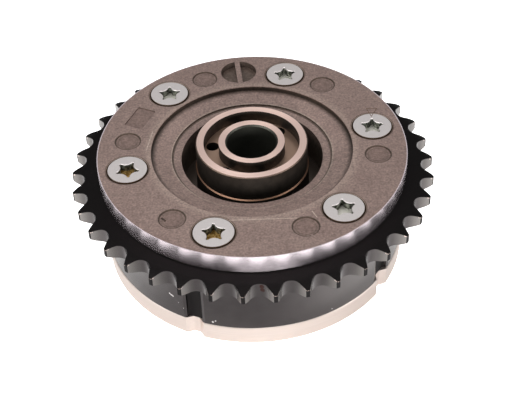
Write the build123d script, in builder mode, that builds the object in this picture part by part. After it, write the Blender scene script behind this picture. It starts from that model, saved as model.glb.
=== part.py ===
from build123d import *
import os
from math import cos, radians, sin, sqrt

# A camshaft timing gear: a roller chain wheel with a hydraulic vane adjuster inside it.
# The chain drives the housing. Oil pressure turns the rotor, and the camshaft with it,
# through a limited angle inside the housing. All sizes are millimetres and degrees.
# The origin is the centre of the flat rear face, +Z runs along the camshaft axis towards
# the hub at the front, and +X passes through the middle of a tooth.

# Chain wheel, for a simple roller chain
teeth = 38
chain_pitch = 9.525
roller_diameter = 6.35
flank_sweep = 3.0
tip_radius = 58.7
wheel_width = 5.2
tip_relief = 1.2
relief_rounding = 9.5
relief_sweep = 30.0

# Stack along the axis, counted from the rear face
plate_thickness = 6.7
body_length = 25.3
cover_thickness = 6.4
hub_rise = 2.7

# Housing
drum_radius = 49.2
chamber_radius = 43.5
chamber_root_radius = 30.0
chamber_count = 6
swing = 26.0
stop_gap = 0.1
groove_angles = (-114.4, -35.7)
groove_widths = (5.2, 7.2)
groove_depth = 1.6
groove_corner = 1.0
groove_mouth_flare = 0.9
groove_mouth_depth = 0.35

# Screws through cover and housing into the rear plate
screw_circle_radius = 40.6
screw_angle = 11.7
screw_diameter = 6.0
screw_clearance_diameter = 6.6
screw_head_radius = 6.4
screw_head_land = 0.65
screw_head_chamfer = 0.15
screw_end_height = 0.8
countersink_radius = 6.9
socket_points = 5
socket_point_radius = 3.7
socket_flank_circle = 4.9
socket_flank_radius = 2.55
socket_point_rounding = 0.35
socket_depth = 2.6
socket_edge_chamfer = 0.15
screw_end_chamfer = 0.6
socket_turns = (14, 19, 18, 61, 19, 24)

# Front cover
cover_radius = 49.9
cover_edge_radius = 0.7
cover_lower_chamfer = 0.4
recess_radius = 32.5
recess_depth = 1.5
recess_edge_radius = 0.5
recess_corner_radius = 1.0
step_radius = 25.9
step_depth = 2.5
step_height = 0.6
opening_radius = 22.9
opening_depth = 3.4
opening_edge_radius = 0.4
mark_offset_angle = -20.1
mark_radius = 4.1
mark_depth = 0.3
pocket_angle = 94.4
pocket_circle_radius = 41.2
pocket_radius = 6.1
pocket_depth = 2.2
pocket_bar_width = 1.75
plaque_angle = 154.0
plaque_circle_radius = 40.7
plaque_size = (6.5, 10.2)
plaque_depth = 0.35
plaque_corner = 0.5

# Rear plate
plate_radius = 49.4
plate_chamfer = 0.3
notch_depth = 1.8
notch_floor_width = 2.2
notch_mouth_width = 6.6
notch_corner = 1.2

# Rotor and its hub
rotor_radius = 33.0
end_clearance = 0.03
journal_radius = 20.0
running_clearance = 0.04
rear_setback = 0.3
cam_spigot_radius = 15.0
cam_spigot_depth = 4.0
bolt_bore_radius = 8.0
hub_radius = 18.0
hub_shoulder_radius = 18.4
hub_shoulder_depth = 6.3
hub_groove_outer_radius = 15.45
hub_groove_inner_radius = 10.65
hub_groove_depth = 4.2
hub_edge_chamfer = 0.3
bore_edge_chamfer = 0.5
well_outer_radius = 23.2
well_depth = 9.0
oil_hole_circle_radius = 13.05
oil_hole_diameter = 4.2
oil_hole_angle = 45.8
oil_hole_count = 5
oil_hole_bottom = 16.0
advance_drilling_height = 18.5
retard_drilling_height = 12.5
drilling_diameter = 2.6
retard_drilling_offset = -7.2

# Vanes and their leaf springs
vane_thickness = 3.0
vane_root_radius = 27.3
vane_tip_clearance = 0.03
slot_clearance = 0.02
slot_floor_radius = 26.5
leaf_thickness = 0.3
leaf_rise = 0.45
leaf_width = 2.4
leaf_end_margin = 3.0

# Lock pin in the rotor, with its spring, spring seat and bush
lock_angle = -14.2
lock_circle_radius = 27.8
lock_pin_radius = 3.46
lock_pin_length = 12.0
lock_pin_tip_chamfer = 0.6
lock_bore_radius = 3.5
lock_pin_hollow_radius = 2.35
lock_pin_floor = 4.0
lock_seat_radius = 4.3
lock_seat_thickness = 1.5
lock_seat_nipple_radius = 1.3
lock_seat_nipple_length = 2.0
lock_vent_radius = 0.75
spring_wire_radius = 0.4
spring_mean_radius = 1.9
spring_turns = 8
bush_outer_radius = 5.0
bush_bore_radius = 3.6
bush_length = 5.0

# Hole for the dowel that times the camshaft to the rotor
dowel_circle_radius = 11.5
dowel_angle = 75.8
dowel_hole_radius = 2.05
dowel_hole_depth = 4.5

# Heights and radii that follow from the sizes above
body_bottom = plate_thickness
cover_bottom = body_bottom + body_length
cover_top = cover_bottom + cover_thickness
hub_top = cover_top + hub_rise
wheel_bottom = cover_bottom - wheel_width
rotor_bottom = body_bottom + end_clearance
rotor_top = cover_bottom - end_clearance
spigot_floor = rear_setback + cam_spigot_depth
chamber_spacing = 360 / chamber_count
chamber_angle = screw_angle + chamber_spacing / 2
vane_angle = chamber_angle - swing / 2
vane_tip_radius = chamber_radius - vane_tip_clearance
screw_radius = screw_diameter / 2
screw_head_top = cover_top - (countersink_radius - screw_head_radius) + screw_head_land
lock_seat_bottom = rotor_top - lock_seat_thickness


def polar(radius, angle):
    """Point at that radius and angle about the axis."""
    return (radius * cos(radians(angle)), radius * sin(radians(angle)))


def turned_plane(height, angle):
    """Level plane at that height, with its X pointing out at that angle."""
    return Plane(origin=(0, 0, height), x_dir=(*polar(1, angle), 0), z_dir=(0, 0, 1))


def radial_plane(angle):
    """Upright plane through the axis: X runs outwards at that angle and Y is up."""
    return Plane(origin=(0, 0, 0), x_dir=(*polar(1, angle), 0), z_dir=(*polar(1, angle - 90), 0))


def drilling_plane(radius, angle, height):
    """Plane that faces outwards at that radius, for a drilling along a radius."""
    return Plane(origin=(*polar(radius, angle), height), z_dir=(*polar(1, angle), 0))


def write_part(name, part):
    """Label a finished piece and write it as the STEP file of that name."""
    part.label = name
    export_step(part, f"parts/{name}.step")


os.makedirs("parts", exist_ok=True)

# Tooth gap: a roller seat with a shallow convex flank on each side, after the roller
# chain standard's smallest tooth form. The seat's centre lies on the pitch circle.
pitch_radius = chain_pitch / (2 * sin(radians(180 / teeth)))
seat_radius = 0.505 * roller_diameter
seat_half_angle = (120 - 90 / teeth) / 2
flank_radius = 0.008 * roller_diameter * (teeth**2 + 180)
seat_end = Vector(
    pitch_radius - seat_radius * cos(radians(seat_half_angle)),
    seat_radius * sin(radians(seat_half_angle)),
)
flank_centre = seat_end + flank_radius * Vector(
    -cos(radians(seat_half_angle)), sin(radians(seat_half_angle))
)

with BuildSketch() as tooth_gap:
    with BuildLine():
        CenterArc(
            (pitch_radius, 0), seat_radius, 180 - seat_half_angle, 2 * seat_half_angle
        )
        flank = CenterArc(flank_centre, flank_radius, -seat_half_angle, flank_sweep)
        mirror(flank, about=Plane.XZ)
        mouth = flank @ 1
        Line(mouth, (mouth.X, -mouth.Y))
    make_face()

# Chamber: its two sides are parallel to the vane's faces where the vane stops.
side_offset = vane_thickness / 2 + stop_gap
side_reach = sqrt(chamber_radius**2 - side_offset**2)
side_along = Vector(*polar(1, swing / 2))
side_across = Vector(*polar(side_offset, swing / 2 + 90))
side_inner = side_along * chamber_root_radius + side_across
side_outer = side_along * side_reach + side_across

with BuildSketch() as chamber:
    with BuildLine():
        side = Line(side_inner, side_outer)
        mirror(side, about=Plane.XZ)
        Line(side_inner, (side_inner.X, -side_inner.Y))
        ThreePointArc(side_outer, (chamber_radius, 0), (side_outer.X, -side_outer.Y))
    make_face()

# Housing: the drum and the chain wheel in one piece, bored for the rotor. Between the
# chambers six lobes reach in to the rotor, and each is drilled for a screw.
with BuildPart() as sprocket_housing:
    with BuildSketch(Plane.XY.offset(wheel_bottom)):
        Circle(tip_radius)
        with PolarLocations(0, teeth, start_angle=180 / teeth):
            add(tooth_gap.sketch, mode=Mode.SUBTRACT)
    extrude(amount=wheel_width)
    with BuildSketch(Plane.XZ):
        relief_start = tip_radius - sqrt(relief_rounding**2 - (relief_rounding - tip_relief) ** 2)
        with BuildLine():
            Line((0, wheel_bottom), (relief_start, wheel_bottom))
            JernArc((relief_start, wheel_bottom), (1, 0), relief_rounding, relief_sweep)
            Line((0, wheel_bottom), (0, cover_bottom))
            Line((0, cover_bottom), (relief_start, cover_bottom))
            JernArc((relief_start, cover_bottom), (1, 0), relief_rounding, -relief_sweep)
            lower_end = Vector(
                relief_start + relief_rounding * sin(radians(relief_sweep)),
                wheel_bottom + relief_rounding * (1 - cos(radians(relief_sweep))),
            )
            upper_end = Vector(lower_end.X, wheel_bottom + cover_bottom - lower_end.Y)
            Line(lower_end, upper_end)
        make_face()
    revolve(axis=Axis.Z, mode=Mode.INTERSECT)
    with BuildSketch(Plane.XY.offset(body_bottom)):
        Circle(drum_radius)
    extrude(amount=body_length)
    with BuildSketch(Plane.XY.offset(body_bottom)):
        Circle(rotor_radius + running_clearance)
        with PolarLocations(0, chamber_count, start_angle=chamber_angle):
            add(chamber.sketch)
        with PolarLocations(screw_circle_radius, chamber_count, start_angle=screw_angle):
            Circle(screw_clearance_diameter / 2)
    extrude(amount=body_length, mode=Mode.SUBTRACT)
    # Grooves down the drum, with rounded floor corners and their edges eased
    for angle, width in zip(groove_angles, groove_widths):
        wall_end = sqrt(drum_radius**2 - (width / 2) ** 2) - groove_mouth_depth
        mouth_half = width / 2 + groove_mouth_flare
        mouth_end = sqrt(drum_radius**2 - mouth_half**2)
        with BuildSketch(turned_plane(body_bottom, angle)):
            with Locations((drum_radius, 0)):
                RectangleRounded(2 * groove_depth, width, groove_corner)
            with BuildLine():
                Polyline(
                    (wall_end, -width / 2),
                    (wall_end, width / 2),
                    (mouth_end, mouth_half),
                    (drum_radius + groove_depth, mouth_half),
                    (drum_radius + groove_depth, -mouth_half),
                    (mouth_end, -mouth_half),
                    close=True,
                )
            make_face()
        extrude(amount=wheel_bottom - body_bottom, mode=Mode.SUBTRACT)
write_part("sprocket_housing", sprocket_housing.part)

# Notch in the edge of the rear plate, in line with the groove: its sides flare outwards
# and carry on past the rim by as much again as they are deep
notch_floor_radius = plate_radius - notch_depth
notch_outer_half = notch_mouth_width - notch_floor_width / 2
with BuildSketch() as notch:
    with BuildLine():
        Polyline(
            (notch_floor_radius, -notch_floor_width / 2),
            (notch_floor_radius, notch_floor_width / 2),
            (plate_radius + notch_depth, notch_outer_half),
            (plate_radius + notch_depth, -notch_outer_half),
            close=True,
        )
    make_face()
    fillet(notch.vertices().group_by(Axis.X)[0], radius=notch_corner)

# Rear plate: closes the chambers at the back, carries the screw threads and runs on the
# rotor's rear journal. A blind pocket on its inner side holds the lock bush.
with BuildPart() as rear_plate:
    with BuildSketch():
        Circle(plate_radius)
        Circle(journal_radius + running_clearance, mode=Mode.SUBTRACT)
        with PolarLocations(screw_circle_radius, chamber_count, start_angle=screw_angle):
            Circle(screw_radius, mode=Mode.SUBTRACT)
    extrude(amount=plate_thickness)
    rims = rear_plate.edges().filter_by(GeomType.CIRCLE).sort_by(SortBy.RADIUS)[-2:]
    chamfer(rims, length=plate_chamfer)
    bore_rim = rear_plate.edges().filter_by(GeomType.CIRCLE).group_by(Axis.Z)[0]
    chamfer(bore_rim.sort_by(SortBy.RADIUS)[-1], length=plate_chamfer)
    for angle in groove_angles:
        with BuildSketch(turned_plane(0, angle)):
            add(notch.sketch)
        extrude(amount=plate_thickness, mode=Mode.SUBTRACT)
    with BuildSketch(Plane.XY.offset(plate_thickness - bush_length)):
        with Locations(polar(lock_circle_radius, lock_angle)):
            Circle(bush_outer_radius)
    extrude(amount=bush_length, mode=Mode.SUBTRACT)
    with BuildSketch():
        with Locations(polar(lock_circle_radius, lock_angle)):
            Circle(lock_vent_radius)
    extrude(amount=plate_thickness, mode=Mode.SUBTRACT)
write_part("rear_plate", rear_plate.part)

# Front cover: a sintered disc, turned on its rim. A dished recess leads in to the opening
# round the hub, and the screws sit flush in countersinks. The bar across the round pocket
# and the shallow marks are left by the pressing die.
with BuildPart() as front_cover:
    with BuildSketch(Plane.XZ) as cover_section:
        with BuildLine():
            Polyline(
                (opening_radius, cover_bottom),
                (cover_radius - cover_lower_chamfer, cover_bottom),
                (cover_radius, cover_bottom + cover_lower_chamfer),
                (cover_radius, cover_top),
                (recess_radius, cover_top),
                (recess_radius, cover_top - recess_depth),
                (step_radius, cover_top - step_depth),
                (step_radius, cover_top - step_depth - step_height),
                (opening_radius, cover_top - opening_depth),
                close=True,
            )
        make_face()
        corners = cover_section.vertices()
        fillet(corners.sort_by_distance((cover_radius, 0, cover_top))[0], radius=cover_edge_radius)
        fillet(corners.sort_by_distance((recess_radius, 0, cover_top))[0], radius=recess_edge_radius)
        fillet(
            corners.sort_by_distance((recess_radius, 0, cover_top - recess_depth))[0],
            radius=recess_corner_radius,
        )
        fillet(
            corners.sort_by_distance((opening_radius, 0, cover_top - opening_depth))[0],
            radius=opening_edge_radius,
        )
    revolve(axis=Axis.Z)
    with BuildSketch(Plane.XY.offset(cover_top - mark_depth)):
        with PolarLocations(
            screw_circle_radius, chamber_count, start_angle=screw_angle + mark_offset_angle
        ):
            Circle(mark_radius)
    extrude(amount=mark_depth, mode=Mode.SUBTRACT)
    with BuildSketch(turned_plane(cover_top - pocket_depth, pocket_angle)):
        with Locations((pocket_circle_radius, 0)):
            Circle(pocket_radius)
            Rectangle(2 * pocket_radius, pocket_bar_width, mode=Mode.SUBTRACT)
    extrude(amount=pocket_depth, mode=Mode.SUBTRACT)
    with BuildSketch(turned_plane(cover_top - plaque_depth, plaque_angle)):
        with Locations((plaque_circle_radius, 0)):
            RectangleRounded(*plaque_size, plaque_corner)
    extrude(amount=plaque_depth, mode=Mode.SUBTRACT)
    with Locations(Plane.XY.offset(cover_top)):
        with PolarLocations(screw_circle_radius, chamber_count, start_angle=screw_angle):
            CounterSinkHole(
                radius=screw_clearance_diameter / 2,
                counter_sink_radius=countersink_radius,
                depth=cover_thickness,
                counter_sink_angle=90,
            )
write_part("front_cover", front_cover.part)

# One countersunk screw with a five-pointed star socket, standing on the axis
with BuildPart() as screw:
    with BuildSketch(Plane.XZ):
        with BuildLine():
            Polyline(
                (0, screw_end_height),
                (screw_radius - screw_end_chamfer, screw_end_height),
                (screw_radius, screw_end_height + screw_end_chamfer),
                (screw_radius, screw_head_top - screw_head_land - screw_head_radius + screw_radius),
                (screw_head_radius, screw_head_top - screw_head_land),
                (screw_head_radius, screw_head_top - screw_head_chamfer),
                (screw_head_radius - screw_head_chamfer, screw_head_top),
                (0, screw_head_top),
                close=True,
            )
        make_face()
    revolve(axis=Axis.Z)
    with BuildSketch(Plane.XY.offset(screw_head_top - socket_depth)) as socket:
        Circle(socket_point_radius)
        with PolarLocations(socket_flank_circle, socket_points, start_angle=180 / socket_points):
            Circle(socket_flank_radius, mode=Mode.SUBTRACT)
        fillet(socket.vertices(), radius=socket_point_rounding)
    extrude(amount=socket_depth, mode=Mode.SUBTRACT)
    socket_edges = screw.faces().sort_by(Axis.Z)[-1].inner_wires().edges()
    chamfer(socket_edges, length=socket_edge_chamfer)

# The six screws, each turned as it was tightened
with BuildPart() as cover_screws:
    for index, turn in enumerate(socket_turns):
        angle = screw_angle + index * chamber_spacing
        x, y = polar(screw_circle_radius, angle)
        with Locations(Location((x, y, 0), (0, 0, turn))):
            add(screw.part)
write_part("cover_screws", cover_screws.part)

# Rotor: turned in one piece with the hub and its two rings. Oil for the advance side
# comes down the groove between the rings; oil for the retard side comes up the bolt bore.
with BuildPart() as rotor:
    with BuildSketch(Plane.XZ):
        with BuildLine():
            Polyline(
                (bolt_bore_radius, spigot_floor),
                (cam_spigot_radius, spigot_floor),
                (cam_spigot_radius, rear_setback),
                (journal_radius, rear_setback),
                (journal_radius, rotor_bottom),
                (rotor_radius, rotor_bottom),
                (rotor_radius, rotor_top),
                (well_outer_radius, rotor_top),
                (well_outer_radius, rotor_top - well_depth),
                (hub_shoulder_radius, rotor_top - well_depth),
                (hub_shoulder_radius, cover_top - hub_shoulder_depth - hub_edge_chamfer),
                (hub_radius, cover_top - hub_shoulder_depth),
                (hub_radius, hub_top - hub_edge_chamfer),
                (hub_radius - hub_edge_chamfer, hub_top),
                (hub_groove_outer_radius, hub_top),
                (hub_groove_outer_radius, hub_top - hub_groove_depth),
                (hub_groove_inner_radius, hub_top - hub_groove_depth),
                (hub_groove_inner_radius, hub_top),
                (bolt_bore_radius + bore_edge_chamfer, hub_top),
                (bolt_bore_radius, hub_top - bore_edge_chamfer),
                close=True,
            )
        make_face()
    revolve(axis=Axis.Z)
    slot_width = vane_thickness + 2 * slot_clearance
    slot_end = chamber_radius
    with BuildSketch(Plane.XY.offset(rotor_bottom)):
        with PolarLocations((slot_floor_radius + slot_end) / 2, chamber_count, start_angle=vane_angle):
            Rectangle(slot_end - slot_floor_radius, slot_width)
    extrude(amount=rotor_top - rotor_bottom, mode=Mode.SUBTRACT)
    for index in range(chamber_count):
        turn = index * chamber_spacing
        retard_angle = vane_angle + retard_drilling_offset + turn
        with BuildSketch(drilling_plane(0, retard_angle, retard_drilling_height)):
            Circle(drilling_diameter / 2)
        extrude(amount=slot_end, mode=Mode.SUBTRACT)
        if index == oil_hole_count:
            continue
        with BuildSketch(Plane.XY.offset(oil_hole_bottom)):
            with Locations(polar(oil_hole_circle_radius, oil_hole_angle + turn)):
                Circle(oil_hole_diameter / 2)
        extrude(until=Until.LAST, mode=Mode.SUBTRACT)
        with BuildSketch(
            drilling_plane(oil_hole_circle_radius, oil_hole_angle + turn, advance_drilling_height)
        ):
            Circle(drilling_diameter / 2)
        extrude(amount=slot_end - oil_hole_circle_radius, mode=Mode.SUBTRACT)
    with BuildSketch(Plane.XY.offset(rotor_bottom)):
        with Locations(polar(lock_circle_radius, lock_angle)):
            Circle(lock_bore_radius)
    extrude(amount=rotor_top - rotor_bottom, mode=Mode.SUBTRACT)
    with BuildSketch(Plane.XY.offset(lock_seat_bottom)):
        with Locations(polar(lock_circle_radius, lock_angle)):
            Circle(lock_seat_radius)
    extrude(amount=lock_seat_thickness, mode=Mode.SUBTRACT)
    with BuildSketch(Plane.XY.offset(spigot_floor)):
        with Locations(polar(dowel_circle_radius, dowel_angle)):
            Circle(dowel_hole_radius)
    extrude(amount=dowel_hole_depth, mode=Mode.SUBTRACT)
write_part("rotor", rotor.part)

# Vanes: flat blades with a crowned tip, each loose in a slot of the rotor and pushed out
# by a leaf spring bowed in the floor of the slot
vane_side = vane_thickness / 2
vane_corner = sqrt(vane_tip_radius**2 - vane_side**2)
leaf_low = rotor_bottom + leaf_end_margin
leaf_high = rotor_top - leaf_end_margin
leaf_middle = (leaf_low + leaf_high) / 2
for index in range(chamber_count):
    angle = vane_angle + index * chamber_spacing
    with BuildPart() as vane:
        with BuildSketch(turned_plane(rotor_bottom, angle)):
            with BuildLine():
                Polyline(
                    (vane_corner, -vane_side),
                    (vane_root_radius, -vane_side),
                    (vane_root_radius, vane_side),
                    (vane_corner, vane_side),
                )
                ThreePointArc((vane_corner, vane_side), (vane_tip_radius, 0), (vane_corner, -vane_side))
            make_face()
        extrude(amount=rotor_top - rotor_bottom)
    write_part(f"vane_{index + 1}", vane.part)
    with BuildPart() as leaf:
        with BuildSketch(radial_plane(angle)):
            with BuildLine():
                ThreePointArc(
                    (slot_floor_radius, leaf_low),
                    (slot_floor_radius + leaf_rise, leaf_middle),
                    (slot_floor_radius, leaf_high),
                )
                Line((slot_floor_radius, leaf_high), (slot_floor_radius + leaf_thickness, leaf_high))
                ThreePointArc(
                    (slot_floor_radius + leaf_thickness, leaf_high),
                    (slot_floor_radius + leaf_thickness + leaf_rise, leaf_middle),
                    (slot_floor_radius + leaf_thickness, leaf_low),
                )
                Line((slot_floor_radius + leaf_thickness, leaf_low), (slot_floor_radius, leaf_low))
            make_face()
        extrude(amount=leaf_width / 2, both=True)
    write_part(f"vane_spring_{index + 1}", leaf.part)

# Lock pin: a hollow piston along the rotor, shown drawn back with its tip just clear of the
# rear plate. Parked, its spring pushes it on into the hardened bush in the plate.
lock_x, lock_y = polar(lock_circle_radius, lock_angle)
with BuildPart() as lock_pin:
    with BuildSketch(Plane.XY.offset(rotor_bottom)):
        with Locations((lock_x, lock_y)):
            Circle(lock_pin_radius)
    extrude(amount=lock_pin_length)
    with BuildSketch(Plane.XY.offset(rotor_bottom + lock_pin_floor)):
        with Locations((lock_x, lock_y)):
            Circle(lock_pin_hollow_radius)
    extrude(amount=lock_pin_length, mode=Mode.SUBTRACT)
    tip_edge = lock_pin.edges().filter_by(GeomType.CIRCLE).group_by(Axis.Z)[0]
    chamfer(tip_edge, length=lock_pin_tip_chamfer)
write_part("lock_pin", lock_pin.part)

# Spring seat: a flanged cap under the front cover, with a nipple inside the spring's end
with BuildPart() as lock_spring_seat:
    with BuildSketch(Plane.XY.offset(lock_seat_bottom)):
        with Locations((lock_x, lock_y)):
            Circle(lock_seat_radius)
    extrude(amount=lock_seat_thickness)
    with BuildSketch(Plane.XY.offset(lock_seat_bottom - lock_seat_nipple_length)):
        with Locations((lock_x, lock_y)):
            Circle(lock_seat_nipple_radius)
    extrude(amount=lock_seat_nipple_length)
    with BuildSketch(Plane.XY.offset(lock_seat_bottom - lock_seat_nipple_length)):
        with Locations((lock_x, lock_y)):
            Circle(lock_vent_radius)
    extrude(amount=lock_seat_nipple_length + lock_seat_thickness, mode=Mode.SUBTRACT)
write_part("lock_spring_seat", lock_spring_seat.part)

# Lock spring: round wire wound from the pin's floor up to the seat
spring_bottom = rotor_bottom + lock_pin_floor + spring_wire_radius
spring_height = lock_seat_bottom - spring_wire_radius - spring_bottom
with BuildPart() as lock_spring:
    with BuildLine(Plane.XY.offset(spring_bottom)):
        coil = Helix(pitch=spring_height / spring_turns, height=spring_height, radius=spring_mean_radius)
    with BuildSketch(Plane(origin=coil @ 0, z_dir=coil % 0)):
        Circle(spring_wire_radius)
    sweep(path=coil)
lock_spring.part.position = (lock_x, lock_y, 0)
write_part("lock_spring", lock_spring.part)

# Lock bush: hardened ring pressed into the rear plate, flush with its inner face
with BuildPart() as lock_bush:
    with BuildSketch(Plane.XY.offset(plate_thickness - bush_length)):
        with Locations((lock_x, lock_y)):
            Circle(bush_outer_radius)
            Circle(bush_bore_radius, mode=Mode.SUBTRACT)
    extrude(amount=bush_length)
write_part("lock_bush", lock_bush.part)
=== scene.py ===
# %% [markdown]
# A camshaft timing gear: a black chain wheel and drum with a brown sintered cover in front,
# a pale turned plate behind and a steel hub in the middle. Its shapes are finished already,
# so this lesson is about light and finishes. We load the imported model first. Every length
# below is in metres too, and MM turns a size in millimetres into metres.
# %% Load the model
import bpy
import numpy as np
from mathutils import Matrix, Vector


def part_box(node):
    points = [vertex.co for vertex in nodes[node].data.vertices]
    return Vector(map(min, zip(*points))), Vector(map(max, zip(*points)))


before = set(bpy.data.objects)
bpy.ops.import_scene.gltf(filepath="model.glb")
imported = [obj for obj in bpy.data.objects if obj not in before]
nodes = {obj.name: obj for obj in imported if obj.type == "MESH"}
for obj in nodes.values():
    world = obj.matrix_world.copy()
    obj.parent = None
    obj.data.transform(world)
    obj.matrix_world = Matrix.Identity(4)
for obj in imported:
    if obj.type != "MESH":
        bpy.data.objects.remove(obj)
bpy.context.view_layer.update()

MM = 0.001
print("pieces of the model:", len(nodes))

# %% [markdown]
# The camera stands where the photographer stood: in front of the gear and about 40 degrees
# above it. We could drag it there by eye, but angles and a distance are easier to correct.
# It aims at the centre of the cover's face, and then pans, tilts and rolls a little, because
# the photographer didn't hold it quite level. The lens is a short telephoto one.
# %% Camera
camera_distance = 389.8 * MM
camera_azimuth = -90.52
camera_elevation = 39.96
camera_pan = 0.15
camera_tilt = -2.49
camera_roll = -2.23
focal_length_mm = 84.68
wheel_top, cover_top = (corner.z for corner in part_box("front_cover"))  # it lies on the wheel


def turned(axis, degrees):
    """Rotation matrix about a world axis by an angle in degrees."""
    return Matrix.Rotation(np.radians(degrees), 3, axis)


lens = bpy.data.cameras.new("photo_camera")
lens.sensor_width = 36.0
lens.sensor_fit = "HORIZONTAL"
lens.lens = focal_length_mm
lens.clip_start = 0.01
camera = bpy.data.objects.new("photo_camera", lens)
aim = turned("Z", camera_azimuth + 90) @ turned("X", 90 - camera_elevation)
fine_aim = turned("Y", -camera_pan) @ turned("X", camera_tilt) @ turned("Z", camera_roll)
pose = (aim @ fine_aim).to_4x4()
pose.translation = aim.col[2] * camera_distance
pose.translation.z += cover_top
camera.matrix_world = pose
bpy.context.scene.collection.objects.link(camera)
bpy.context.scene.camera = camera
print("camera at", [round(v, 4) for v in pose.translation])

# %% [markdown]
# Every finish and the lights are built from nodes. They could be drawn by hand in the node
# editor, but a script can be read and run again. Two small helpers are enough for all of
# them: one turns the hex colour that a paint chart would give into the linear colour that
# the renderer counts in, and one adds a node with its settings and links in one line.
# %% Colours and nodes
def linear(hex_colour):
    """Turn an sRGB hex colour into linear red, green, blue and an alpha of 1."""
    srgb = np.array([int(hex_colour[i:i + 2], 16) for i in (1, 3, 5)]) / 255
    low, high = srgb / 12.92, ((srgb + 0.055) / 1.055) ** 2.4
    return (*np.where(srgb <= 0.04045, low, high).tolist(), 1.0)


def add_node(tree, kind, inputs=None, **settings):
    """Add a shader node: settings are its own properties, inputs are values, sockets or nodes.

    A node given as an input is linked by the first of its outputs that is in use.
    """
    node = tree.nodes.new("ShaderNode" + kind)
    for name, value in settings.items():
        setattr(node, name, value)
    for name, value in (inputs or {}).items():
        if isinstance(value, bpy.types.Node):
            value = next(socket for socket in value.outputs if socket.enabled)
        if isinstance(value, bpy.types.NodeSocket):
            tree.links.new(value, node.inputs[name])
        else:
            node.inputs[name].default_value = value
    return node


print("a mid grey in linear light:", [round(v, 3) for v in linear("#808080")])

# %% [markdown]
# The gear stands on a white table. A plain white sheet would need strong lamps to look
# white, and they would bleach the gear. So the table glows, but only for the camera and in
# reflections. To the light it is a plain sheet that throws some of it back up and keeps a
# soft shadow.
# %% White table
table_half_width = 3.0
table_gap = 0.05 * MM
corners = np.array([[-1, -1, 0], [1, -1, 0], [1, 1, 0], [-1, 1, 0]]) * table_half_width
table_mesh = bpy.data.meshes.new("white_table")
table_mesh.from_pydata(corners.tolist(), [], [(0, 1, 2, 3)])
table = bpy.data.objects.new("white_table", table_mesh)
table.location.z = -table_gap
bpy.context.scene.collection.objects.link(table)

table_sheet = bpy.data.materials.new("white_table_sheet")
table_sheet.use_nodes = True
tree = table_sheet.node_tree
tree.nodes.clear()
table_mesh.materials.append(table_sheet)
print("table at z =", table.location.z)

# %% [markdown]
# The camera looks down on the gear, so every upright face of it mirrors the table: the rear
# plate mirrors the strip close round it, and the drum mirrors the band beyond that. On a real
# table the gear's own shadow lies there. Real lamps could cast it, but the glow would fill it
# again, so we dim the glow itself. The strip is even and dim. The band is nearly dark in
# front of the gear and comes back to white at the sides and farther out, which leaves the
# front of the drum darker than its sides.
# %% Glow of the table
strip_end, strip_fade = 57.5 * MM, 2 * MM
band_end, band_fade = 80 * MM, 25 * MM
strip_glow, band_glow = 0.27, 0.1
shade_azimuth = -103
shade_middle, shade_side = 0.98, 0.70  # cosines of about 11 and 46 degrees from that azimuth
ray = add_node(tree, "LightPath")
seen, mirrored = ray.outputs["Is Camera Ray"], ray.outputs["Is Glossy Ray"]
looked_at = add_node(tree, "Math", {0: seen, 1: mirrored}, operation="MAXIMUM")
place = add_node(tree, "TexCoord").outputs["Object"]
from_axis = add_node(tree, "VectorMath", {0: place}, operation="LENGTH").outputs["Value"]
outward = add_node(tree, "VectorMath", {0: place}, operation="NORMALIZE")
shade_way = turned("Z", shade_azimuth) @ Vector((1, 0, 0))
in_front = add_node(tree, "VectorMath", {0: outward, 1: shade_way}, operation="DOT_PRODUCT")
beyond_strip, far, aside = (
    add_node(tree, "MapRange", {"Value": measure, "From Min": first, "From Max": last})
    for measure, first, last in (
        (from_axis, strip_end, strip_end + strip_fade),
        (from_axis, band_end, band_end + band_fade),
        (in_front.outputs["Value"], shade_middle, shade_side),
    )
)
unshaded = add_node(tree, "Math", {0: far, 1: aside}, operation="MAXIMUM")
outer_glow = add_node(tree, "MapRange", {"Value": unshaded, "To Min": band_glow, "To Max": 1.0})
mirrored_glow = add_node(tree, "Mix", {"Factor": beyond_strip, "A": strip_glow, "B": outer_glow})
glow_level = add_node(tree, "Math", {0: seen, 1: mirrored_glow}, operation="MAXIMUM")
sheet = add_node(tree, "BsdfDiffuse", {"Color": linear("#f0f0f0")})
glow = add_node(tree, "Emission", {"Color": linear("#ffffff"), "Strength": glow_level})
lit_sheet = add_node(tree, "AddShader", {0: sheet, 1: glow})
shown = add_node(tree, "MixShader", {0: looked_at, 1: sheet, 2: lit_sheet})
add_node(tree, "OutputMaterial", {"Surface": shown})
print("the glow in front comes back at", round((band_end + band_fade) / MM), "mm from the axis")

# %% [markdown]
# Steel shows mostly what it mirrors, so the light needs bright and dim parts. A photographer
# would hang white cloth round the gear. An image of a studio could stand in for it, but three
# ramps do the same and are easy to tune: the cloth is dim low down and bright overhead, dim
# in front, where the camera stands, and a little brighter at both sides. To the camera itself
# the cloth is plain white.
# %% Light tent
world = bpy.data.worlds.new("light_tent")
world.use_nodes = True
bpy.context.scene.world = world
tree = world.node_tree
tree.nodes.clear()
direction = add_node(tree, "SeparateXYZ", {0: add_node(tree, "TexCoord").outputs["Generated"]})
sideways = add_node(tree, "Math", {0: direction.outputs["X"]}, operation="ABSOLUTE")
ramps = (  # part of the direction, where it is dim and where bright, and the two levels
    (direction.outputs["Z"], 0.54, 0.78, 0.22, 0.60),
    (direction.outputs["Y"], -0.70, 0.30, 0.15, 1.00),
    (sideways, 0.10, 0.80, 0.90, 1.30),
)
tent = 1.0
for part, dim_end, bright_end, least, most in ramps:
    ends = {"From Min": dim_end, "From Max": bright_end, "To Min": least, "To Max": most}
    share = add_node(tree, "MapRange", {"Value": part, **ends}, interpolation_type="SMOOTHSTEP")
    tent = add_node(tree, "Math", {0: tent, 1: share}, operation="MULTIPLY")
seen = add_node(tree, "LightPath").outputs["Is Camera Ray"]
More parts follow.
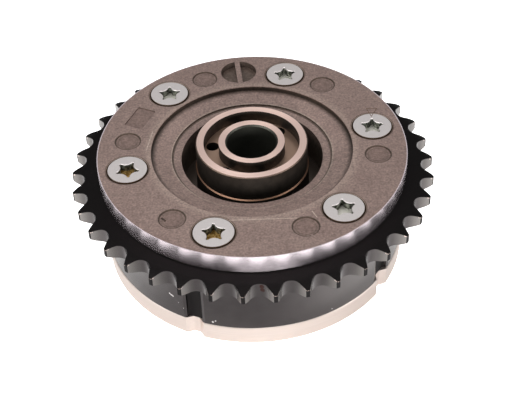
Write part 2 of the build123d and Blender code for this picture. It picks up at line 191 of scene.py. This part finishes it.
strength = add_node(tree, "MapRange", {"Value": seen, "To Min": tent, "To Max": 1.0})
sky = add_node(tree, "Background", {"Color": linear("#ffffff"), "Strength": strength})
add_node(tree, "OutputWorld", {"Surface": sky})
print("the tent is made of", len(ramps), "ramps")

# %% [markdown]
# Soft boxes add the highlights. Lamps without size would give hard points of light, so these
# are rectangles. Two large ones at the left and right light all of the gear. A low, wide one
# in front is what the cover's turned rim mirrors. A small one overhead shows the grain of the
# cover, and the one at the back is what the level tops of the hub and the screws mirror.
# %% Soft boxes
def soft_box(name, place, width, height, power):
    """Add a rectangular area lamp that faces the gear from that place, in metres and watts.

    The camera doesn't see the lamp itself, so no lamp can hide the gear in another view.
    """
    lamp = bpy.data.lights.new(name, "AREA")
    lamp.shape = "RECTANGLE"
    lamp.size, lamp.size_y = width, height
    lamp.energy = power
    lamp_object = bpy.data.objects.new(name, lamp)
    lamp_object.location = place
    lamp_object.visible_camera = False
    lamp_object.rotation_euler = Vector(place).to_track_quat("Z", "Y").to_euler()
    bpy.context.scene.collection.objects.link(lamp_object)
    print(name, "at", place)


soft_box("left_box", (-0.75, -0.20, 0.65), 0.5, 0.5, 3.0)
soft_box("right_box", (0.75, -0.25, 0.65), 0.5, 0.5, 3.0)
soft_box("front_box", (0.10, -0.95, 0.18), 0.65, 0.25, 14.0)
soft_box("top_box", (-0.12, -0.13, 0.32), 0.2, 0.2, 0.42)
soft_box("back_box", (0.0, 0.80, 0.86), 0.6, 0.5, 0.55)
bpy.context.scene.view_settings.view_transform = "Standard"

# %% [markdown]
# A finish could be painted by hand on an unwrapped surface, or the mesh could be cut where
# the finish changes. The gear is a body of revolution, so there is an easier way: a few
# measures that the surface gives for nothing, which are how far a point is from the axis, how
# high it is, and how far it faces up. A rim, a groove or a ground face is then a range of one
# or two of them. The ranges reach a little past the edges that they mean.
# %% Where a finish lies
UP, SLOPING, UPRIGHT = (0.7, 1.1), (0.5, 0.9), (-0.4, 0.4)  # 1 faces straight up, 0 sideways
NO_END = 1000  # in mm, farther out and higher up than all of the gear
hub_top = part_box("rotor")[1].z


def new_finish(name):
    """Start a node material: return it, its tree and the measures of the surface it lies on."""
    material = bpy.data.materials.new(name)
    material.use_nodes = True
    tree = material.node_tree
    tree.nodes.clear()
    coordinates = add_node(tree, "TexCoord")
    place = coordinates.outputs["Object"]
    flat = add_node(tree, "VectorMath", {0: place, 1: (1, 1, 0)}, operation="MULTIPLY")
    surface = {
        "place": place,
        "flat": flat,  # the place without its height
        "radius": add_node(tree, "VectorMath", {0: flat}, operation="LENGTH").outputs["Value"],
        "height": add_node(tree, "SeparateXYZ", {0: place}).outputs["Z"],
        "facing_up": add_node(tree, "SeparateXYZ", {0: coordinates.outputs["Normal"]}).outputs["Z"],
    }
    return material, tree, surface


def span(low, high, start=0.0):
    """Range of a measure, from two sizes in mm that count from that start."""
    return start + low * MM, start + high * MM


def zone(tree, on, **ranges):
    """Mask that is 1 where every named measure of the surface lies in its range."""
    mask = 1.0
    for measure, (low, high) in ranges.items():
        middle, reach = (low + high) / 2, (high - low) / 2
        inside = add_node(tree, "Math", {0: on[measure], 1: middle, 2: reach}, operation="COMPARE")
        mask = add_node(tree, "Math", {0: mask, 1: inside}, operation="MULTIPLY")
    return mask


def give(finish, names):
    """Put a finish on CAD pieces in place of the plain colour that they come with."""
    for name in names:
        nodes[name].data.materials.clear()
        nodes[name].data.materials.append(finish)
    print(finish.name, "on", len(names), "pieces")


print("cover face", round(cover_top, 4), "hub top", round(hub_top, 4))

# %% [markdown]
# Small marks lie at single places: the press marks and screws on their circle, crumbs of dirt,
# nicks and scratches. Each could be a mesh of its own, but they have no thickness to speak
# of. So we measure how far a point is from the nearest place, or from the nearest line, and
# a mark is where that distance is small.
# %% Spots and strokes
sixths = 60 * np.arange(6)
screw_circle = 40.6 * MM
screw_angle, mark_angle = 11.7, -8.4  # of the first screw and the first press mark, in degrees


def around(radius, angles, heights):
    """Places on a circle about the axis, at those angles in degrees and those heights.

    x is the radius times the cosine of the angle, and y the radius times its sine.
    """
    turns = np.radians(angles)
    x, y = radius * np.cos(turns), radius * np.sin(turns)
    return np.stack([x, y, heights + 0 * turns], axis=1).tolist()


def spots(tree, place, centres, operation, *sizes):
    """Mask from the distance to the nearest of those centres, tested by that comparison."""
    nearest = 1.0
    for centre in centres:
        away = add_node(tree, "VectorMath", {0: place, 1: centre}, operation="DISTANCE")
        nearest = add_node(tree, "Math", {0: nearest, 1: away.outputs["Value"]}, operation="MINIMUM")
    return add_node(tree, "Math", {0: nearest, **dict(enumerate(sizes, 1))}, operation=operation)


def strokes(tree, on, lines, width):
    """Mask of straight thin lines on a level face, from the x and y of their ends in mm.

    The nearest point of the line from A to B is A plus its direction times the length of
    (place - A) along it, held between 0 and the distance from A to B.
    """
    nearest = 1.0
    for line in lines:
        start, end = (Vector((x * MM, y * MM, 0.0)) for x, y in line)
        along = (end - start).normalized()
        from_start = add_node(tree, "VectorMath", {0: on["flat"], 1: start}, operation="SUBTRACT")
        reach = add_node(tree, "VectorMath", {0: from_start, 1: along}, operation="DOT_PRODUCT")
        held = add_node(tree, "Clamp", {"Value": reach.outputs["Value"], "Max": (end - start).length})
        foot = add_node(tree, "VectorMath", {0: along, "Scale": held}, operation="SCALE")
        away = add_node(tree, "VectorMath", {0: from_start, 1: foot}, operation="DISTANCE")
        nearest = add_node(tree, "Math", {0: nearest, 1: away.outputs["Value"]}, operation="MINIMUM")
    return add_node(tree, "Math", {0: nearest, 1: width / 2}, operation="LESS_THAN")


screw_centres = around(screw_circle, screw_angle + sixths, 0.0)
mark_centres = around(screw_circle, mark_angle + sixths, 0.0)
print("first screw in mm:", [round(v / MM, 2) for v in screw_centres[0][:2]])

# %% [markdown]
# The front cover is pressed from iron powder, sintered and then steam treated, which leaves
# a thin brown-grey skin of oxide. It is dull, finely grained and a little blotchy. An image of
# such a surface would repeat, and blur close by, so the skin is noise at three sizes, which
# stand for the powder's grains, clumps of them, and the uneven steam.
# %% Cover: oxide skin
grain_mm = 0.65  # the powder's grains are 0.1 to 0.2 mm, too fine to show, so drawn coarser
clump_mm, steam_mm = 1.6, 7.0
cover_finish, tree, on = new_finish("steam_treated_sintered_steel")
grain, mottle, blotches = (
    add_node(tree, "TexNoise", {"Vector": on["place"], "Scale": 1 / (size_mm * MM), "Detail": detail})
    for size_mm, detail in ((grain_mm, 3.0), (clump_mm, 4.0), (steam_mm, 3.0))
)
dark_skin, pale_skin = linear("#77635d"), linear("#8e7a72")
skin = add_node(tree, "Mix", {"Factor": blotches, "A": dark_skin, "B": pale_skin}, data_type="RGBA")
print("cover finish has", len(tree.nodes), "nodes so far")

# %% [markdown]
# Wear and dirt tell how the cover was used, and painted shade stands in for the shadows in its
# hollows. Painted shade darkens the corner of the recess, the floor below the step, the upright
# walls of the pockets, the press marks and the opening, and thin rings round the press marks and
# round the countersinks. The edge of the recess is rubbed pale, crumbs of dirt lie by one press
# mark, a few scratches cross the face, and an assembler scribed a triangle beside one screw. Each
# could be a decal, but here each is a mask and a colour, and we lay them over the skin one after
# the other.
# %% Cover: painted shade, dirt, rubbed places and scratches
triangle = ((38.8, 17.6), (42.2, 17.4), (40.0, 13.1))  # all x and y here are in mm
scratches = (
    ((-9.0, -33.6), (12.5, -33.9)), ((17.3, -31.2), (18.5, -33.9)),
    ((14.9, -41.5), (16.7, -41.6)), ((-34.1, 0.7), (-32.2, 10.4)),
)
crumbs, crumb_radius = ((-27.4, -32.2), (-27.9, -31.6), (-28.3, -31.1)), 0.42 * MM
crumb_centres = [(x * MM, y * MM, 0.0) for x, y in crumbs]
# painted shade: thin dark rings where the edges of the press marks and the countersinks throw shadow
shade_rings = (  # centres, radius and half the width in mm, and colour
    (mark_centres, 3.15, 0.12, "#67584f"), (mark_centres, 4.12, 0.22, "#4c3f36"),
    (screw_centres, 6.97, 0.13, "#4b3c33"),
)
stroke_width = 0.25 * MM  # a scriber's line is half as wide and would not show
pressed = span(33.3, 48.5)  # the part of the face with the screws, press marks and pocket
radius_to_wall = {"Value": on["radius"], "From Min": 30.8 * MM, "From Max": 32.4 * MM}
radius_to_edge = {"Value": on["radius"], "From Min": 35.6 * MM, "From Max": 33.0 * MM, "To Max": 0.7}
recess_corner = zone(tree, on, radius=span(30, 32.8), height=span(-6.4, -0.25, cover_top))
recess_edge = zone(tree, on, radius=span(32.6, 36), height=span(-0.1, 1.0, cover_top))
corner_shade, rubbed = (
    add_node(tree, "Math", {0: add_node(tree, "MapRange", ramp), 1: where}, operation="MULTIPLY")
    for ramp, where in ((radius_to_wall, recess_corner), (radius_to_edge, recess_edge))
)
triangle_sides = tuple(zip(triangle, triangle[1:] + triangle[:1]))
pressed_wall_shade = zone(tree, on, radius=pressed, height=span(-6.4, -0.02, cover_top), facing_up=UPRIGHT)
layers = (
    (zone(tree, on, radius=pressed, height=span(-0.45, -0.12, cover_top)), "#77635c"),  # press marks
    (zone(tree, on, radius=pressed, height=span(-2.5, -1.9, cover_top)), "#62534a"),  # round pocket
    # painted shade on the upright walls of the pockets and press marks
    (pressed_wall_shade, "#4a3e37"),
    # painted shade in the corner of the recess, darkest against its wall
    (corner_shade, "#2f251e"),
    (rubbed, "#99867c"),
    (zone(tree, on, radius=span(25.96, 26.3)), "#8f7f75"),  # rubbed edge of the step
    (zone(tree, on, radius=span(22.0, 25.96), facing_up=UPRIGHT), "#4a3e37"),  # wall of the opening, painted dark as painted shade
    (zone(tree, on, radius=span(25.3, 25.92), facing_up=UP), "#5c4e46"),  # painted shade on the floor below the step
    *((spots(tree, on["flat"], centres, "COMPARE", radius * MM, half_width * MM), tint)
      for centres, radius, half_width, tint in shade_rings),
    (spots(tree, on["flat"], crumb_centres, "LESS_THAN", crumb_radius), "#3a2c24"),
    (strokes(tree, on, triangle_sides, stroke_width), "#5a4334"),
    (strokes(tree, on, scratches, stroke_width), "#b09f94"),
)
for mask, tint in layers:
    skin = add_node(tree, "Mix", {"Factor": mask, "A": skin, "B": linear(tint)}, data_type="RGBA")
print("layers over the skin:", len(layers))

# %% [markdown]
# The grain runs through all of these layers, because the pores are in the iron itself. So
# it doesn't get colours of its own: it could be a picture laid over them, but it is enough to
# make whatever lies there a little darker or lighter. The floor of the recess is painted about
# a tenth lighter, as painted light that makes up for the shade it lies in.
# %% Cover: grain and painted light on the recess floor
noise_ends = {"From Min": 0.3, "From Max": 0.7}  # nearly all of a noise lies between these
recess_floor = zone(tree, on, radius=span(22.9, 32.2), height=span(-6.4, -0.9, cover_top))
speckle, cloud = (
    add_node(tree, "MapRange", {"Value": noise, **noise_ends, "To Min": dark, "To Max": pale})
    for noise, dark, pale in ((grain, 0.7, 1.28), (mottle, 0.86, 1.14))
)
# painted light: the floor of the recess is made about a tenth lighter
painted_floor_light = add_node(tree, "MapRange", {"Value": recess_floor, "To Min": 1.0, "To Max": 1.11})
shade = 1.0
for factor in (speckle, cloud, painted_floor_light):
    shade = add_node(tree, "Math", {0: shade, 1: factor}, operation="MULTIPLY")
skin = add_node(tree, "VectorMath", {0: skin, "Scale": shade}, operation="SCALE")
print("cover finish has", len(tree.nodes), "nodes so far")

# %% [markdown]
# Only the cover's rim is turned after the sintering, and there the bare steel shines. The fine
# grooves of the tool run round it. They spread each reflection up and down, but not sideways,
# so the dark teeth below show as sharp scallops. Grooves modelled one by one would need a
# huge mesh, and bump that fine only makes the picture noisy. An anisotropic metal is made for
# this: its tangent follows the rim, and a quarter turn points the spread across the grooves.
# In the same go we colour the lip of each countersink, worn and painted paler as a highlight, the gap
# round its screw, painted dark as painted shade, and the rounded top edge of the rim, painted as a pale
# highlight line with less metal so that it shows all round.
# %% Cover: turned rim
rim = zone(tree, on, radius=span(49.62, NO_END))
# painted highlight: a pale line on the rounded top edge of the rim
rim_edge_highlight = zone(tree, on, radius=span(49.5, 49.84), facing_up=(0.25, 0.97))
# the lip of each countersink, worn and painted paler as a highlight
lip_wear_and_highlight = zone(tree, on, radius=pressed, facing_up=SLOPING, height=span(-0.16, 0.0, cover_top))
# painted shade in the gap between each countersink and its screw
gap_shade = zone(tree, on, radius=pressed, facing_up=SLOPING, height=span(-6.4, -0.16, cover_top))
colour = skin
for mask, tint in ((rim, "#e2d6db"), (lip_wear_and_highlight, "#8d7a6e"), (rim_edge_highlight, "#d2c4b8"), (gap_shade, "#3f2f24")):
    colour = add_node(tree, "Mix", {"Factor": mask, "A": colour, "B": linear(tint)}, data_type="RGBA")
rim_metal = add_node(tree, "MapRange", {"Value": rim, "To Min": 0.25, "To Max": 1.0})
metal = add_node(tree, "Mix", {"Factor": rim_edge_highlight, "A": rim_metal, "B": 0.5})
rim_gloss = add_node(tree, "MapRange", {"Value": mottle, "To Min": 0.17, "To Max": 0.22})
gloss = add_node(tree, "Mix", {"Factor": rim, "A": 0.5, "B": rim_gloss})
pore_depth = 0.01 * MM
depth = add_node(tree, "MapRange", {"Value": rim, "To Min": pore_depth, "To Max": 0.0})
bump = add_node(tree, "Bump", {"Height": grain, "Strength": 1.0, "Distance": depth})
shader = add_node(tree, "BsdfPrincipled", {
    "Base Color": colour, "Metallic": metal, "Roughness": gloss, "Normal": bump,
    "Anisotropic": rim, "Anisotropic Rotation": 0.25,
    "Tangent": add_node(tree, "Tangent", direction_type="RADIAL", axis="Z"),
})
add_node(tree, "OutputMaterial", {"Surface": shader})
give(cover_finish, ["front_cover"])

# %% [markdown]
# The housing is hardened steel with a black oxide finish, a chemical blackening that keeps
# the machined surface. Black paint would look like plastic, but magnetite reflects like a very
# dark metal, so we use a metal with a dark colour. The flat faces of the chain wheel and the
# narrow tooth tips are matt and really black, and the grooves are painted the same matt black
# as painted shade. The drum and the tooth gaps are smoother and take a grey sheen. The sides of
# the teeth are painted lighter towards the tips, partly polish from the chain's rollers and
# partly painted sheen. The drum's sides are painted lighter than its front, as a painted sheen.
# %% Housing: black oxide
root_radius, tip_radius = 54.6 * MM, 58.45 * MM
sheen_from, sheen_to = 0.97, 0.59  # cosines of about 14 and 54 degrees from the shaded front
oxide_mm = 0.4  # its crystals are a few thousandths, far too fine to show, so drawn coarser
oil_mm = 4
housing_finish, tree, on = new_finish("black_oxide_steel")
grain, cloud = (
    add_node(tree, "TexNoise", {"Vector": on["place"], "Scale": 1 / (size_mm * MM), "Detail": detail})
    for size_mm, detail in ((oxide_mm, 3.0), (oil_mm, 4.0))
)
level = add_node(tree, "Math", {0: on["facing_up"]}, operation="ABSOLUTE")
matt = add_node(tree, "MapRange", {"Value": level, "From Min": 0.35, "From Max": 0.6})
tips = zone(tree, on, radius=(tip_radius, NO_END * MM))
# painted shade: the grooves are painted matt black
groove_shade = zone(tree, on, radius=span(46.5, 48.3), height=(0.0, wheel_top - 5.3 * MM))
for dull_place in (tips, groove_shade):
    matt = add_node(tree, "Math", {0: matt, 1: dull_place}, operation="MAXIMUM")
outward = add_node(tree, "VectorMath", {0: on["flat"]}, operation="NORMALIZE")
in_front = add_node(tree, "VectorMath", {0: outward, 1: shade_way}, operation="DOT_PRODUCT")
side_sheen, polish_and_sheen = (
    add_node(tree, "MapRange", {"Value": measure, "From Min": first, "From Max": last})
    for measure, first, last in (
        (in_front.outputs["Value"], sheen_from, sheen_to), (on["radius"], root_radius, tip_radius),
    )
)
drum = zone(tree, on, radius=span(48.8, 50))
# painted sheen: the drum is painted lighter at its sides than in front
drum_side_sheen = add_node(tree, "Math", {0: side_sheen, 1: drum}, operation="MULTIPLY")
satin, dull = (
    add_node(tree, "Mix", {"Factor": noise, "A": linear(dark), "B": linear(pale)}, data_type="RGBA")
    for noise, dark, pale in ((cloud, "#3f3b3b", "#4b4747"), (grain, "#1a1818", "#222020"))
)
# tooth sides lighter towards the tips: partly polish from the chain, partly painted sheen
for mask, tint in ((drum_side_sheen, "#615d5c"), (polish_and_sheen, "#7a7673")):
    satin = add_node(tree, "Mix", {"Factor": mask, "A": satin, "B": linear(tint)}, data_type="RGBA")
black = add_node(tree, "Mix", {"Factor": matt, "A": satin, "B": dull}, data_type="RGBA")
print("housing finish has", len(tree.nodes), "nodes so far")

# %% [markdown]
# A few nicks on the drum go through the black to bright steel, and a brown stain sits in one
# tooth gap. The front corners of some tooth tips are painted pale, partly wear from the chain
# and partly painted glints. Clean round spots would look like paint, and cut ones would need a
# finer mesh. So we shift each place at random before we measure, by up to half a millimetre,
# and the spots come out ragged. The shift is half of that on average, and the nicks are moved
# by as much.
# %% Housing: nicks, stain and painted glints on worn tips
tear = 0.5 * MM
drum_radius = 49.2 * MM
nicks = np.array([  # angle about the axis in degrees, height and radius of each in mm
    (-124.0, 15.2, 0.32), (-123.4, 14.9, 0.34), (-122.8, 14.6, 0.3), (-107.3, 8.0, 0.38),
    (-106.2, 8.7, 0.28), (-120.5, 12.6, 0.16), (-118.6, 10.8, 0.16), (-62.5, 7.9, 0.2),
])
stain_centres = [(1.1 * MM, -54.3 * MM, 31.2 * MM), (1.3 * MM, -54.3 * MM, 29.8 * MM)]
stain_radius = 0.75 * MM
ragged = add_node(tree, "VectorMath", {0: grain.outputs["Color"], "Scale": tear}, operation="SCALE")
torn_place = add_node(tree, "VectorMath", {0: on["place"], 1: ragged}, operation="ADD")
nick_centres = np.array(around(drum_radius, nicks[:, 0], nicks[:, 1] * MM)) + tear / 2
bare = 0.0
for centre, radius in zip(nick_centres.tolist(), nicks[:, 2].tolist()):
    nick = spots(tree, torn_place, [centre], "LESS_THAN", radius * MM)
    bare = add_node(tree, "Math", {0: bare, 1: nick}, operation="MAXIMUM")
stain = spots(tree, torn_place, stain_centres, "LESS_THAN", stain_radius)
corner_heights = span(-1.3, -0.1, wheel_top)
# the front corners of some tooth tips, worn and painted pale as glints
tip_corners = zone(tree, on, radius=span(57.8, NO_END), height=corner_heights, facing_up=UPRIGHT)
patchy = add_node(tree, "Math", {0: grain, 1: 0.5}, operation="GREATER_THAN")
worn_tip_glints = add_node(tree, "Math", {0: tip_corners, 1: patchy}, operation="MULTIPLY")
colour = black
for mask, tint in ((worn_tip_glints, "#d0bfb7"), (stain, "#3a2926"), (bare, "#c5c1bf")):
    colour = add_node(tree, "Mix", {"Factor": mask, "A": colour, "B": linear(tint)}, data_type="RGBA")
oxide_gloss = add_node(tree, "MapRange", {"Value": matt, "To Min": 0.26, "To Max": 0.6})
gloss = add_node(tree, "Mix", {"Factor": bare, "A": oxide_gloss, "B": 0.35})
bump = add_node(tree, "Bump", {"Height": grain, "Strength": 0.3, "Distance": 0.01 * MM})
shader = add_node(
    tree, "BsdfPrincipled", {"Base Color": colour, "Metallic": 1.0, "Roughness": gloss, "Normal": bump}
)
add_node(tree, "OutputMaterial", {"Surface": shader})
give(housing_finish, ["sprocket_housing"])

# %% [markdown]
# The rear plate is plain steel, turned all over and left bright: nearly white metal with fine
# rings from the lathe. A wave texture would make the rings as even as a record's, so they are
# noise, read by the distance from the axis and the height. They could be an anisotropic metal,
# as the cover's rim is, but here single marks should show, as they do on so pale a steel.
# %% Rear plate: turned steel
turning_mm = 0.3  # the tool left a ring every 0.1 mm, too fine to show, so drawn coarser


def turning_marks(tree, on, width_mm):
    """Random pattern of fine rings about the axis, such as a lathe tool leaves.

    It is noise read at (radius, height), so it is the same all the way round, with a
    fortieth of the real place added, so that each mark fades and comes back.
    """
    across = add_node(tree, "CombineXYZ", {"X": on["radius"], "Y": on["height"]})
    drift = add_node(tree, "VectorMath", {0: on["place"], "Scale": 1 / 40}, operation="SCALE")
    rings = add_node(tree, "VectorMath", {0: across, 1: drift}, operation="ADD")
    return add_node(tree, "TexNoise", {"Vector": rings, "Scale": 1 / (width_mm * MM), "Detail": 2.0})


plate_finish, tree, on = new_finish("fine_turned_steel")
marks = turning_marks(tree, on, turning_mm)
dark_steel, pale_steel = linear("#c8bab2"), linear("#dacec7")
colour = add_node(tree, "Mix", {"Factor": marks, "A": dark_steel, "B": pale_steel}, data_type="RGBA")
gloss = add_node(tree, "MapRange", {"Value": marks, "To Min": 0.3, "To Max": 0.5})
bump = add_node(tree, "Bump", {"Height": marks, "Strength": 0.4, "Distance": 0.015 * MM})
shader = add_node(
    tree, "BsdfPrincipled", {"Base Color": colour, "Metallic": 1.0, "Roughness": gloss, "Normal": bump}
)
add_node(tree, "OutputMaterial", {"Surface": shader})
give(plate_finish, ["rear_plate"])

# %% [markdown]
# The rotor's hub stands in the opening. Its sides and the groove between its rings are
# painted nearly black and patchy, as painted shade, the bore an even dark grey as painted shade,
# and the well round it a lighter grey, as painted light in its shade. The floor of the groove is
# brown, the shoulder at the foot of the hub is brown steel painted brighter as a highlight, and
# the outer edge is painted darker as painted shade. Two materials could split the shaded from the
# clean steel, but the faces of each would have to be picked by hand, so one material paints both
# by height and radius.
# %% Hub: steel with painted shade
shade_patch_mm = 2.5
hub_finish, tree, on = new_finish("ground_and_oily_steel")
marks = turning_marks(tree, on, turning_mm)
patch_noise = add_node(tree, "TexNoise", {"Vector": on["place"], "Scale": 1 / (shade_patch_mm * MM), "Detail": 4.0})
deep_shade, pale_shade = linear("#2b2724"), linear("#4e463f")
# painted shade: a patchy near-black for the hub's sides, groove and well
shade_patches = add_node(tree, "Mix", {"Factor": patch_noise, "A": deep_shade, "B": pale_shade}, data_type="RGBA")
top_heights = span(-0.45, NO_END, hub_top)
groove_heights, shoulder_heights = span(-4.4, -4.0, hub_top), span(-6.75, -6.25, cover_top)
layers = (
    (zone(tree, on, height=groove_heights, radius=span(10.7, 15.4), facing_up=UP), "#a68a78"),
    (zone(tree, on, radius=span(0, 8.45)), "#42423c"),  # bore, painted an even dark grey as painted shade
    (zone(tree, on, radius=span(18.6, 23.4)), "#675c54"),  # well round the hub, painted lighter as painted light in its shade
    # the shoulder: brown steel painted brighter as a highlight line
    (zone(tree, on, height=shoulder_heights, radius=span(17.95, 18.5), facing_up=UP), "#7a5c4a"),
    # the outer chamfer of the rings, painted darker as painted shade to narrow its highlight
    (zone(tree, on, height=top_heights, radius=span(17.0, 18.1), facing_up=(0.3, 0.85)), "#65554b"),
)
for mask, tint in layers:
    shade_patches = add_node(tree, "Mix", {"Factor": mask, "A": shade_patches, "B": linear(tint)}, data_type="RGBA")
print("hub finish has", len(tree.nodes), "nodes so far")

# %% [markdown]
# The tops of the two rings are ground, a warm pale steel. The marks run round, so they spread
# light along the radius: the rings are brightest in front and at the back, and darker at
# their sides. A painted gradient would stay where it is when the light moves, so we make them
# anisotropic, as the cover's rim is.
# %% Hub: ground ring tops
ground = zone(tree, on, height=top_heights, facing_up=(0.85, 1.1))
warm_steel, pale_steel = linear("#f2d0c4"), linear("#ffe4d9")
clean = add_node(tree, "Mix", {"Factor": marks, "A": warm_steel, "B": pale_steel}, data_type="RGBA")
colour = add_node(tree, "Mix", {"Factor": ground, "A": shade_patches, "B": clean}, data_type="RGBA")
metal = add_node(tree, "MapRange", {"Value": ground, "To Min": 0.8, "To Max": 1.0})
gloss = add_node(tree, "MapRange", {"Value": marks, "To Min": 0.34, "To Max": 0.46})
bump = add_node(tree, "Bump", {"Height": marks, "Strength": 0.4, "Distance": 0.01 * MM})
spread = add_node(tree, "Math", {0: ground, 1: 0.8}, operation="MULTIPLY")
shader = add_node(tree, "BsdfPrincipled", {
    "Base Color": colour, "Metallic": metal, "Roughness": gloss, "Normal": bump,
    "Anisotropic": spread, "Anisotropic Rotation": 0.25,
    "Tangent": add_node(tree, "Tangent", direction_type="RADIAL", axis="Z"),
})
add_node(tree, "OutputMaterial", {"Surface": shader})
give(hub_finish, ["rotor"])

# %% [markdown]
# The screws are zinc plated and passivated, a pale satin grey. The walls of their sockets are
# painted a patchy dark grey as painted shade, with pale patches as painted glints. The inside of
# a socket could be unwrapped and painted, but it is all that lies below the top of the head, so
# its height is enough to find it.
# %% Screws: plated steel
plating_mm = 0.3  # the real plating's grain can't be seen at all, this only breaks up its grey
patch_mm = 0.9
screw_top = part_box("cover_screws")[1].z
screw_finish, tree, on = new_finish("zinc_plated_steel")
grain, patch_noise = (
    add_node(tree, "TexNoise", {"Vector": on["place"], "Scale": 1 / (size_mm * MM), "Detail": 3.0})
    for size_mm in (plating_mm, patch_mm)
)
shade_patches = add_node(tree, "MapRange", {"Value": patch_noise, "From Min": 0.42, "From Max": 0.62})
# painted shade with pale painted glints on the walls of the sockets
zinc, socket_shade = (
    add_node(tree, "Mix", {"Factor": noise, "A": linear(dark), "B": linear(pale)}, data_type="RGBA")
    for noise, dark, pale in ((grain, "#c6bfbd", "#dad4d3"), (shade_patches, "#3a3b33", "#8c8f86"))
)
inside = zone(tree, on, height=(0.0, screw_top - 0.2 * MM))
plated = add_node(tree, "Mix", {"Factor": inside, "A": zinc, "B": socket_shade}, data_type="RGBA")
print("screw finish has", len(tree.nodes), "nodes so far")

# %% [markdown]
# Painted shade darkens the side of each head near its edge, where it sits in the gap of its
# countersink. Two of the six sockets still hold old thread sealant, brass yellow on the floor,
# with paler patches painted on as glints. The sealant could be a second material on a few faces,
# but a mask round the centres of those two screws finds them too. The scribed triangle runs on
# over one of the heads, so it is drawn here again.
# %% Screws: sockets, sealant, painted shade and glints
head_radius, edge_shade_width = 6.4 * MM, 0.16 * MM
sealed_screws = screw_centres[3:5]
floor = zone(tree, on, height=span(-2.9, -2.3, screw_top), facing_up=UP)
side = zone(tree, on, height=span(-1.5, 0.01, screw_top), facing_up=(-0.8, 0.9))
head_edge = spots(tree, on["flat"], screw_centres, "GREATER_THAN", head_radius - edge_shade_width)
sealed = spots(tree, on["flat"], sealed_screws, "LESS_THAN", head_radius)
glint_patches = add_node(tree, "Math", {0: patch_noise, 1: 0.51}, operation="GREATER_THAN")
# painted glints: paler patches on the sealant
sealant = add_node(tree, "Math", {0: floor, 1: sealed}, operation="MULTIPLY")
sealant_glints = add_node(tree, "Math", {0: sealant, 1: glint_patches}, operation="MULTIPLY")
# painted shade on the side of each head near its edge
head_edge_shade = add_node(tree, "Math", {0: side, 1: head_edge}, operation="MULTIPLY")
scribed = strokes(tree, on, triangle_sides, stroke_width)
colour = plated
for mask, tint in (
    # painted light: the socket floors are painted near white to show through their shade
    (floor, "#f2eee4"), (sealant, "#8a6935"), (sealant_glints, "#c09d60"), (head_edge_shade, "#47362a"),
    (scribed, "#7d6154"),
):
    colour = add_node(tree, "Mix", {"Factor": mask, "A": colour, "B": linear(tint)}, data_type="RGBA")
bump = add_node(tree, "Bump", {"Height": grain, "Strength": 0.3, "Distance": 0.01 * MM})
shader = add_node(
    tree, "BsdfPrincipled", {"Base Color": colour, "Metallic": 0.7, "Roughness": 0.45, "Normal": bump}
)
add_node(tree, "OutputMaterial", {"Surface": shader})
give(screw_finish, ["cover_screws"])

# %% [markdown]
# What is inside is seen only when the gear is taken apart. The vanes, the lock pin, its seat
# and its bush are hardened and ground. The springs are drawn wire and strip, and darker. They
# could be two sections like those above, but the two finishes differ only in their greys,
# their gloss and their marks, so one function makes both. The marks of the stone and of the
# drawing die are hundredths of a millimetre wide, and are drawn coarser to show.
# %% Inside: hardened steel and spring steel
def inner_steel(name, dark, pale, width_mm, gloss):
    """Bare steel with fine marks between two greys."""
    finish, tree, on = new_finish(name)
    marks = turning_marks(tree, on, width_mm)
    greys = {"A": linear(dark), "B": linear(pale)}
    colour = add_node(tree, "Mix", {"Factor": marks, **greys}, data_type="RGBA")
    bump = add_node(tree, "Bump", {"Height": marks, "Strength": 0.3, "Distance": 0.01 * MM})
    shader = add_node(
        tree, "BsdfPrincipled", {"Base Color": colour, "Metallic": 1.0, "Roughness": gloss, "Normal": bump}
    )
    add_node(tree, "OutputMaterial", {"Surface": shader})
    return finish


dressed = ["front_cover", "sprocket_housing", "rear_plate", "rotor", "cover_screws"]
springs = [name for name in nodes if "spring" in name and "seat" not in name]
hardened = [name for name in nodes if name not in springs + dressed]
give(inner_steel("hardened_ground_steel", "#a9a5a2", "#bfbbb8", 0.3, 0.3), hardened)
give(inner_steel("drawn_spring_steel", "#6f6c69", "#8c8885", 0.2, 0.35), springs)
